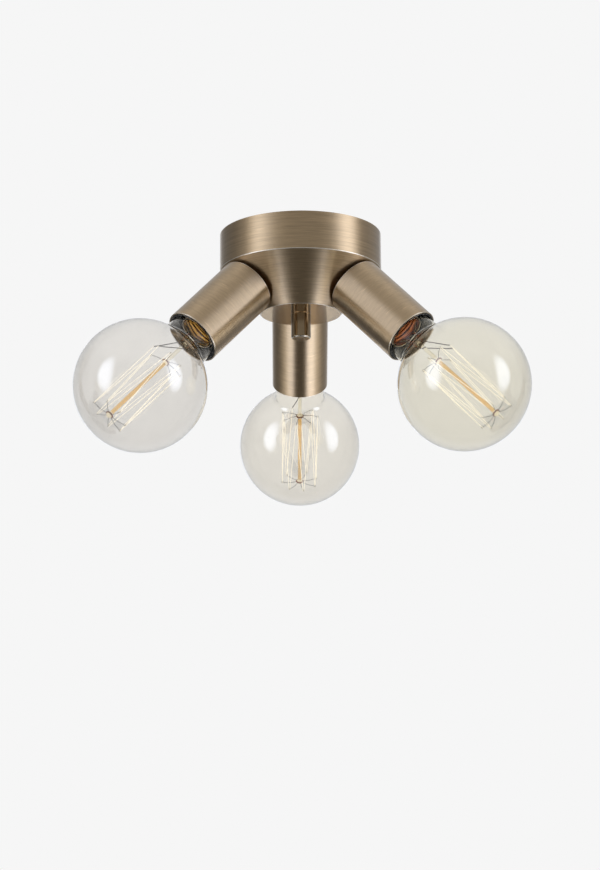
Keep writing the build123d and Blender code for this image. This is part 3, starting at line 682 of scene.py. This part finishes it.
def make_skirt(side):
    """The holder's skirt, its mouth flared to a rounded lip at the cup's rim."""
    profile = [
        (17.2, 14.0), (19.0, 14.0), (19.2, 14.3), (19.2, 58.2), (19.6, 59.4), (20.15, 61.0),
        (20.22, 62.5), (20.22, 64.2), (20.12, 64.8), (19.85, 65.2), (19.5, 65.35), (19.15, 65.2),
        (18.95, 64.8), (18.8, 64.2), (18.0, 63.2), (16.6, 62.1), (15.3, 61.2), (14.9, 60.5),
        (14.8, 59.8), (14.8, 57.3), (15.1, 57.0), (16.4, 57.0), (16.4, 30.1), (17.2, 30.1),
    ]
    points, faces = spin(profile, 128, True)
    return make_piece(
        f"holder_skirt_flared_{side}", points, faces, lamps[side], materials["black"],
        body="canopy", replaces=(f"holder_skirt_{side}",), crease=50.0,
    )


def make_stem(side):
    """The hollow flare and the flat pinch in clear glass."""
    flare = 12.4 - GLASS - 0.1
    outer = loft(
        [
            (CAP_RIM - 2.0, flare, flare, 2.0),
            (CAP_RIM - 0.5, flare - 0.8, flare - 0.8, 2.0),
            (CAP_RIM + 2.0, 7.6, 7.6, 2.0),
            (CAP_RIM + 5.0, 5.6, 5.2, 2.0),
            (PRESS_S - 6.5, 5.0, 4.2, 2.0),
            (PRESS_S - 4.5, 4.9, 2.8, 2.3),
            (PRESS_S - 2.5, 5.0, 2.0, 2.8),
            (PRESS_S - 0.8, 5.0, 1.9, 3.0),
            (PRESS_S, 4.2, 1.5, 2.5),
        ],
        64,
    )
    hollow = loft(
        [
            (CAP_RIM - 1.99, flare - 0.8, flare - 0.8, 2.0),
            (CAP_RIM - 0.2, flare - 1.7, flare - 1.7, 2.0),
            (CAP_RIM + 2.0, 6.7, 6.7, 2.0),
            (CAP_RIM + 5.0, 4.8, 4.4, 2.0),
            (PRESS_S - 7.5, 3.8, 3.4, 2.0),
            (PRESS_S - 6.8, 2.4, 2.0, 2.0),
        ],
        64,
    )
    outer_points, outer_faces = outer
    hollow_points, hollow_faces = hollow
    base = len(outer_points)
    faces = outer_faces[:-2] + [outer_faces[-1]]
    faces += [tuple(v + base for v in reversed(f)) for f in hollow_faces[:-2] + [hollow_faces[-1]]]
    for k in range(64):
        n = (k + 1) % 64
        faces.append((n, k, base + k, base + n))
    return make_piece(
        f"stem_flare_{side}", outer_points + hollow_points, faces, lamps[side], materials["flare"],
        body=f"bulb_{side}", replaces=(f"stem_{side}",),
    )


def rod_profile(start, end):
    return [(0, start), (ROD_R, start), (ROD_R, end), (0, end)]


def make_rod(side):
    """The rod in two lengths, with a bead and a wire ring at each hub."""
    upper = rod_profile(PRESS_S - 1.5, CAGE_TOP - 0.2)
    lower = rod_profile(CAGE_TOP + 0.2, CAGE_BOTTOM - 0.2)
    beads = []
    for s in (CAGE_TOP, CAGE_BOTTOM):
        beads.append(spin([(0, s - 1.5)] + arc((0, s), BEAD_R, -75, 75, 12) + [(0, s + 1.5)], 24))
    points, faces = joined(*beads)
    make_piece(
        f"hub_beads_{side}", points, faces, lamps[side], materials["bead"],
        body=f"bulb_{side}",
    )
    for label, profile, finish in (("stem_rod_upper", upper, "stem"), ("stem_rod", lower, "rod")):
        points, faces = spin(profile, 32)
        make_piece(
            f"{label}_{side}", points, faces, lamps[side], materials[finish],
            body=f"bulb_{side}", replaces=(f"stem_{side}",),
        )
    rings = []
    for s in (CAGE_TOP, CAGE_BOTTOM):
        ring = [
            (RING_R * math.cos(a), RING_R * math.sin(a), s)
            for a in (2 * math.pi * k / 40 for k in range(41))
        ]
        rings.append(tube(ring, RING_WIRE_R, 10))
    points, faces = joined(*rings)
    make_piece(
        f"hub_rings_{side}", points, faces, lamps[side], materials["copper"],
        body=f"bulb_{side}",
    )


def hook_turns():
    """Angles of the cage's corners round the axis, the first and last at the lead-ins."""
    return [2 * math.pi * step / (CAGE_RUNS + 1) for step in range(CAGE_RUNS + 1)]


def on_cage(turn, radius, height):
    """A point at an angle, radius and height in the lamp's frame."""
    return (radius * math.cos(turn), radius * math.sin(turn), height)


def make_filament(side):
    """One wire up and down between the hooks, bent round each."""
    path = []
    turns = hook_turns()
    for step, turn in enumerate(turns):
        top = step % 2 == 0
        height = CAGE_TOP - 0.5 if top else CAGE_BOTTOM + 0.5
        inward = -1 if top else 1
        if step in (0, CAGE_RUNS):
            path.append(on_cage(turn, CAGE_R, height))
            continue
        half = 0.45 / CAGE_R
        for f in (-1.0, -0.7, 0.0, 0.7, 1.0):
            lift = (1 - f * f) * 0.45 * inward
            path.append(on_cage(turn + half * f, CAGE_R, height + lift - 0.45 * inward))
    points, faces = tube(path, FILAMENT_R, 8)
    make_piece(
        f"filament_wire_{side}", points, faces, lamps[side], materials["filament"],
        body=f"bulb_{side}", replaces=(f"filament_{side}",),
    )


def make_supports(side):
    """Thin wires from the two buttons, each curled into a hook at the cage."""
    wires = []
    for step, turn in enumerate(hook_turns()):
        if step in (0, CAGE_RUNS):
            continue
        top = step % 2 == 0
        s = CAGE_TOP if top else CAGE_BOTTOM
        sense = -1 if top else 1
        path = [on_cage(turn, 2.2, s), on_cage(turn, 3.4, s + 0.5 * sense)]
        for r in (6.0, 8.5, 11.0):
            sag = 0.5 + 0.5 * math.sin((r - 3.4) / 9 * math.pi)
            path.append(on_cage(turn, r, s + sag * sense))
        for k in range(9):
            a = math.radians(-60 + 300 * k / 8)
            reach = CAGE_R - 0.4 + 0.75 * math.sin(a) + 0.2
            path.append(on_cage(turn, reach, s + (0.1 + 0.75 * math.cos(a)) * sense))
        wires.append(tube(path, HOOK_R, 6))
    points, faces = joined(*wires)
    make_piece(
        f"filament_hooks_{side}", points, faces, lamps[side], materials["support"],
        body=f"bulb_{side}", replaces=(f"filament_supports_{side}",),
    )


def make_lead_ins(side):
    """Two stiff wires from the pinch to the filament's two ends, and their seals in it."""
    turns = hook_turns()
    wires, seals = [], []
    for step, start in ((0, LEAD_IN_X), (CAGE_RUNS, -LEAD_IN_X)):
        turn = turns[step]
        end = Vector(on_cage(turn, CAGE_R, CAGE_TOP - 0.5))
        path = [
            Vector((start, 0, PRESS_S - 4.0)),
            Vector((start, 0, PRESS_S + 1.0)),
            Vector((start, 0, PRESS_S + 3.0)) * 0.7 + end * 0.3 - Vector((0, 0, 1.5)),
            end * 0.8 + Vector((start, 0, PRESS_S + 3.0)) * 0.2,
            end,
        ]
        wires.append(tube(path, LEAD_IN_R, 8))
        sealed = [(start, 0, PRESS_S - depth) for depth in (9.0, 6.0, 3.0, 0.2)]
        seals.append(tube(sealed, SEAL_R, 8))
    points, faces = joined(*seals)
    make_piece(
        f"pinch_seals_{side}", points, faces, lamps[side], materials["copper"],
        body=f"bulb_{side}",
    )
    points, faces = joined(*wires)
    make_piece(
        f"lead_in_pair_{side}", points, faces, lamps[side], materials["lead_in"],
        body=f"bulb_{side}", replaces=(f"lead_in_wires_{side}",),
    )


for side in SIDES:
    made = make_globe(side)
    made.visible_shadow = False
    make_cap(side)
    make_cap_rim(side)
    stem = make_stem(side)
    stem.visible_shadow = False
    make_rod(side)
    make_filament(side)
    make_supports(side)
    make_lead_ins(side)
    make_cup(side)
    make_skirt(side)
    make_screw_shell(side)
for obj in bpy.context.scene.objects:
    if obj.name.startswith("stem_rod"):
        obj.visible_shadow = False

# ---- finial ---------------------------------------------------------------------------------

finial_profile = [
    (5.05, -60.5), (6.9, -60.5), (7.25, -60.85), (7.25, -78.0), (7.05, -78.5), (6.4, -79.0), (0, -79.0),
]
bore_profile = [(5.05, -60.5), (5.05, -76.4), (0, -76.7)]
finial_points, finial_faces = spin(finial_profile, 96)
bore_points, bore_faces = spin(bore_profile, 96)
bore_faces = [tuple(reversed(face)) for face in bore_faces]
points, faces = joined((finial_points, finial_faces), (bore_points, bore_faces))
make_piece(
    "finial_cylinder", points, [tuple(reversed(face)) for face in faces], None, materials["finial"],
    body="finial", replaces=("finial_nut",), crease=20.0,
)

# ---- leads inside the canopy ------------------------------------------------------------------

SLEEVE_Z = -16.25
POLE_Y = 9.5
STRIP_X = -16.9
CORE_XS = (STRIP_X + 0.4, -20.0, -23.0)
LEAD_R = 1.1
CORE_R = 0.5
# per lamp: offset across and up in the pole, x of the rise, how low it dips, way points
LEAD_WAYS = {
    "live": {
        "back": (1.3, -0.35, -10.6, -27.0, []),
        "left": (-1.3, -0.35, -10.6, -26.0, []),
        "right": (0.0, 1.6, -8.0, -22.0, [(3.0, 10.5, -24.0)]),
    },
    "neutral": {
        "back": (1.3, -0.35, -10.6, -29.5, []),
        "left": (-1.3, -0.35, -10.6, -27.0, []),
        "right": (0.0, 1.6, -8.0, -22.0, [(3.0, -10.5, -24.0)]),
    },
}


def bent(points, bend=2.6):
    """A 3-D route with its corners rounded and its runs cut into steps of at most 2 mm."""
    points = [Vector(p) for p in points]
    out = [points[0]]
    for i in range(1, len(points) - 1):
        p, a, b = points[i], points[i - 1], points[i + 1]
        u, v = (a - p).normalized(), (b - p).normalized()
        turn = math.pi - u.angle(v)
        reach = min(bend * math.tan(turn / 2), (a - p).length * 0.49, (b - p).length * 0.49)
        for k in range(9):
            f = k / 8
            out.append((p + u * reach) * (1 - f) ** 2 + p * 2 * f * (1 - f) + (p + v * reach) * f * f)
    out.append(points[-1])
    fine = [out[0]]
    for a, b in zip(out, out[1:]):
        steps = max(1, math.ceil((b - a).length / 2.0))
        fine += [a + (b - a) * k / steps for k in range(1, steps + 1)]
    return fine


def make_leads(pole, pole_y, sense):
    """One pole's three leads, from the lampholders to the block, and their bare ends."""
    leads, cores = [], []
    for side in SIDES:
        across, above, rise_x, dip, way = LEAD_WAYS[pole][side]
        y, z = pole_y + across, SLEEVE_Z + above
        local = [
            (sense * 10.6, 0, 27.52), (sense * 10.6, 0, 16.42),
            (sense * 1.3, 0, 13.62), (sense * 1.3, 0, -16.0),
        ]
        route = [lamps[side] @ (Vector(p) * MM) / MM for p in local]
        route += [Vector(p) for p in way + [(rise_x, y, dip), (rise_x, y, z), (STRIP_X, y, z)]]
        leads.append(tube(bent(route), LEAD_R, 12))
        cores.append(tube([(x, y, z) for x in CORE_XS], CORE_R, 8))
    points, faces = joined(*leads)
    piece = make_piece(
        f"{pole}_wires", points, faces, None, materials[pole],
        body=None, replaces=(f"{pole}_leads",),
    )
    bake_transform(piece)
    points, faces = joined(*cores)
    make_piece(
        f"{pole}_cores", points, faces, None, materials["wire_copper"],
        body="ceiling_side",
    )


make_leads("live", POLE_Y, 1)
make_leads("neutral", -POLE_Y, -1)

# the earth lead: from the block's middle way to a ring terminal under the strap's screw
EARTH_X = 21.0
EARTH_Z = -15.65
UNDER_STRAP = -9.5
BARREL_R = 1.7
toward = Vector((-math.cos(math.radians(30)), math.sin(math.radians(30)), 0))
barrel_z = UNDER_STRAP - 1.75
centre = Vector((EARTH_X, 0, 0))
barrel_end = centre + toward * 10.6
earth_route = [
    (STRIP_X, 0, EARTH_Z), (-9.5, 0, EARTH_Z), (-3.5, 8.2, EARTH_Z),
    barrel_end + toward * 7.0 + Vector((0, 0, barrel_z - 2.7)),
    barrel_end - toward * 0.6 + Vector((0, 0, barrel_z)),
]
points, faces = tube(bent(earth_route), LEAD_R, 12)
make_piece(
    "earth_wire", points, faces, None, materials["earth"],
    body="ceiling_side", replaces=("earth_lead",),
)
points, faces = tube([(x, 0, EARTH_Z) for x in CORE_XS], CORE_R, 8)
make_piece(
    "earth_core", points, faces, None, materials["wire_copper"], body="ceiling_side"
)
ring_profile = [(2.05, -9.52), (4.1, -9.52), (4.2, -9.62), (4.2, -10.2), (4.1, -10.3), (2.05, -10.3)]
ring_points, ring_faces = spin(ring_profile, 48, True)
ring_points = [Vector(p) + centre for p in ring_points]
barrel_path = [centre + toward * d + Vector((0, 0, barrel_z)) for d in (5.6, 6.4, 8.1, 9.8, 10.6)]
barrel = tube(barrel_path, BARREL_R, 24, (1.0, 1.0, 0.86, 1.0, 1.0))
across = toward.cross(Vector((0, 0, 1)))
tongue_points = [
    centre + toward * d + across * w + Vector((0, 0, z))
    for d in (3.6, 6.4) for w in (-1.6, 1.6) for z in (-9.55, -10.3)
]
tongue_faces = [(0, 1, 3, 2), (4, 6, 7, 5), (0, 4, 5, 1), (2, 3, 7, 6), (0, 2, 6, 4), (1, 5, 7, 3)]
points, faces = joined((ring_points, ring_faces), barrel, (tongue_points, tongue_faces))
make_piece(
    "earth_ring_terminal", points, faces, None, materials["zinc"],
    body="ceiling_side", replaces=("earth_lead",),
)

# ---- camera ---------------------------------------------------------------------------------

CAMERA_LENS = 88.2185
CAMERA_LOOK = (0.01150146, 0.97489939, 0.2223486)
CAMERA_ROLL = -0.408
CAMERA_PLACE = (-0.01921594, -1.51935979, -0.49854561)

camera_data = bpy.data.cameras.new("camera")
camera_data.lens = CAMERA_LENS
camera_data.sensor_width = 36.0
camera_data.clip_start, camera_data.clip_end = 0.05, 60.0
camera = bpy.data.objects.new("camera", camera_data)
bpy.context.scene.collection.objects.link(camera)
forward = Vector(CAMERA_LOOK).normalized()
right = forward.cross(Vector((0, 0, 1))).normalized()
up = right.cross(forward)
roll = math.radians(CAMERA_ROLL)
tilted = right * math.cos(roll) + up * math.sin(roll)
raised = up * math.cos(roll) - right * math.sin(roll)
pose = Matrix((tilted, raised, -forward)).transposed().to_4x4()
pose.translation = Vector(CAMERA_PLACE)
camera.matrix_world = pose
bpy.context.scene.camera = camera

# ---- studio ---------------------------------------------------------------------------------

WHITE = 0.9216  # the backdrop, as the camera sees it
ROOM = 0.31  # what metal mirrors where no lamp or backdrop is
FILL = 0.60  # the world's own light on the part
BOX_STRENGTH = 3.0
FLOOR_Z = -2.4
scene = bpy.context.scene
scene.view_settings.view_transform = "Standard"
scene.cycles.use_denoising = True

world = bpy.data.worlds.new("studio")
scene.world = world
t = Tree(world)
path_node = t.add("ShaderNodeLightPath")
direction = t.add("ShaderNodeTexCoord").outputs["Generated"]
axes = t.add("ShaderNodeSeparateXYZ", {0: direction})
x, y, z = axes.outputs[:3]
# what brushed metal mirrors: grey in front, paler above, the backdrop's white straight
# behind above level and about half of it lower down, a little less behind on the left,
# dark straight below, and a tall soft strip of light to each side
back = t.span(y, 0.84, 0.96, 0.0, 1.0, True)
behind = t.math("MULTIPLY", back, t.span(z, -0.12, 0.08, 0.14, 0.62, True))
above = t.span(z, 0.15, 0.75, 0.0, 0.34, True)
dim = t.math("MULTIPLY", t.span(y, 0.0, 0.3, 0.0, 0.15, True), t.span(x, -0.2, -0.5))
dim = t.math("MULTIPLY", dim, t.span(y, 0.7, 0.9, 1.0, 0.0))
below = t.math("ADD", t.span(z, -0.50, -0.90, 0.0, 0.21, True), dim)
room = t.math("SUBTRACT", t.math("ADD", t.math("ADD", ROOM, above), behind), below)
tall = t.math("MULTIPLY", t.span(z, -0.97, -0.86, 0.0, 1.0, True), t.span(z, 0.45, 0.75, 1.0, 0.0, True))
tall = t.math("MULTIPLY", tall, t.span(z, -0.75, -0.42, 1.75, 1.0, True))
level = room
for sense, lean, shift, width, strength in ((-1, 0.29, 0.39, 0.32, 1.85), (1, 0.228, 0.275, 0.37, 2.3)):
    off = t.math("ABSOLUTE", t.math("ADD", t.math("ADD", y, t.math("MULTIPLY", z, lean)), shift))
    beside = t.span(t.math("MULTIPLY", x, sense), 0.1, 0.4)
    strip = t.math("MULTIPLY", t.span(off, 0.05, width, 1.0, 0.0, True), beside)
    level = t.math("ADD", level, t.math("MULTIPLY", t.math("MULTIPLY", strip, tall), strength))
# clear glass and other sharp gloss mirror a soft oval to each side in place of the strips,
# and at least 0.6 straight behind
glassy = t.math("MAXIMUM", room, t.span(y, 0.5, 0.88, 0.3, 0.6, True))
for sense, middle, strength in ((-1, -0.50, 2.6), (1, -0.42, 2.6)):
    wide = t.math("DIVIDE", t.math("SUBTRACT", y, middle), 0.27)
    high = t.math("DIVIDE", t.math("SUBTRACT", z, 0.14), 0.50)
    away = t.math("ADD", t.math("MULTIPLY", wide, wide), t.math("MULTIPLY", high, high))
    beside = t.span(t.math("MULTIPLY", x, sense), 0.1, 0.3)
    spot = t.math("MULTIPLY", t.span(away, 0.1, 1.0, 1.0, 0.0, True), beside)
    glassy = t.math("ADD", glassy, t.math("MULTIPLY", spot, strength))
sharp = path_node.outputs["Is Singular Ray"]
spread = t.math("MULTIPLY", level, t.math("SUBTRACT", 1.0, sharp))
level = t.math("ADD", t.math("MULTIPLY", glassy, sharp), spread)
glow = t.mix(t.span(level, 0.6, 1.5), (1.0, 1.0, 1.0), (0.94, 1.0, 1.13))
studio = t.add("ShaderNodeBackground", {"Color": glow, "Strength": level})
seen = t.add("ShaderNodeBackground", {"Color": (1, 1, 1, 1), "Strength": WHITE})
fill = t.add("ShaderNodeBackground", {"Color": (1, 1, 1, 1), "Strength": FILL})
through = t.math("MAXIMUM", path_node.outputs["Is Camera Ray"], path_node.outputs["Is Transmission Ray"])
glossy = path_node.outputs["Is Glossy Ray"]
lighting = t.add("ShaderNodeMixShader", {0: glossy, 1: fill.outputs[0], 2: studio.outputs[0]})
final = t.add("ShaderNodeMixShader", {0: through, 1: lighting.outputs[0], 2: seen.outputs[0]})
t.tree.links.new(final.outputs[0], t.add("ShaderNodeOutputWorld").inputs[0])


def softbox(name, azimuth, elevation, distance, half_width, half_height, edge=0.35):
    """A panel of diffuse light with soft edges, facing the part; azimuth from the front."""
    material = bpy.data.materials.new(name)
    t = Tree(material)
    spot = t.add("ShaderNodeSeparateXYZ", {0: t.add("ShaderNodeTexCoord").outputs["Object"]})
    across = t.span(t.math("ABSOLUTE", spot.outputs[0]), 1 - edge, 1.0, 1.0, 0.0, True)
    tall = t.span(t.math("ABSOLUTE", spot.outputs[1]), 1 - edge, 1.0, 1.0, 0.0, True)
    glow = t.math("MULTIPLY", t.math("MULTIPLY", across, tall), BOX_STRENGTH)
    shader = t.add("ShaderNodeEmission", {"Color": (1, 1, 1, 1), "Strength": glow})
    t.tree.links.new(shader.outputs[0], t.add("ShaderNodeOutputMaterial").inputs[0])
    mesh = bpy.data.meshes.new(name)
    mesh.from_pydata([(-1, -1, 0), (1, -1, 0), (1, 1, 0), (-1, 1, 0)], [], [(0, 1, 2, 3)])
    mesh.materials.append(material)
    obj = bpy.data.objects.new(name, mesh)
    scene.collection.objects.link(obj)
    a, e = math.radians(azimuth), math.radians(elevation)
    away = Vector((math.sin(a) * math.cos(e), -math.cos(a) * math.cos(e), math.sin(e)))
    turned = away.to_track_quat("Z", "Y").to_matrix().to_4x4()
    turned.translation = Vector((0, 0, -0.08)) + away * distance
    wide, high = (distance * math.tan(math.radians(half)) for half in (half_width, half_height))
    obj.matrix_world = turned @ Matrix.Diagonal((wide, high, 1, 1))
    obj.visible_camera = obj.visible_transmission = obj.visible_shadow = obj.visible_glossy = False


softbox("softbox_left", -62, -7, 2.0, 22, 38)
softbox("softbox_right", 70, -7, 2.0, 24, 38)

floor_material = bpy.data.materials.new("pale_floor")
t = Tree(floor_material)
path_node = t.add("ShaderNodeLightPath")
shine = t.add("ShaderNodeEmission", {"Color": (1, 1, 1, 1), "Strength": WHITE})
matt = t.add("ShaderNodeBsdfDiffuse", {"Color": (0.8, 0.8, 0.8, 1)})
through = t.math("MAXIMUM", path_node.outputs["Is Camera Ray"], path_node.outputs["Is Transmission Ray"])
both = t.add("ShaderNodeMixShader", {0: through, 1: matt.outputs[0], 2: shine.outputs[0]})
t.tree.links.new(both.outputs[0], t.add("ShaderNodeOutputMaterial").inputs[0])
floor_mesh = bpy.data.meshes.new("floor")
corners = [(x, y, FLOOR_Z) for x, y in ((-9, -9), (9, -9), (9, 9), (-9, 9))]
floor_mesh.from_pydata(corners, [], [(0, 1, 2, 3)])
floor_mesh.materials.append(floor_material)
floor = bpy.data.objects.new("floor", floor_mesh)
scene.collection.objects.link(floor)
floor.visible_glossy = False
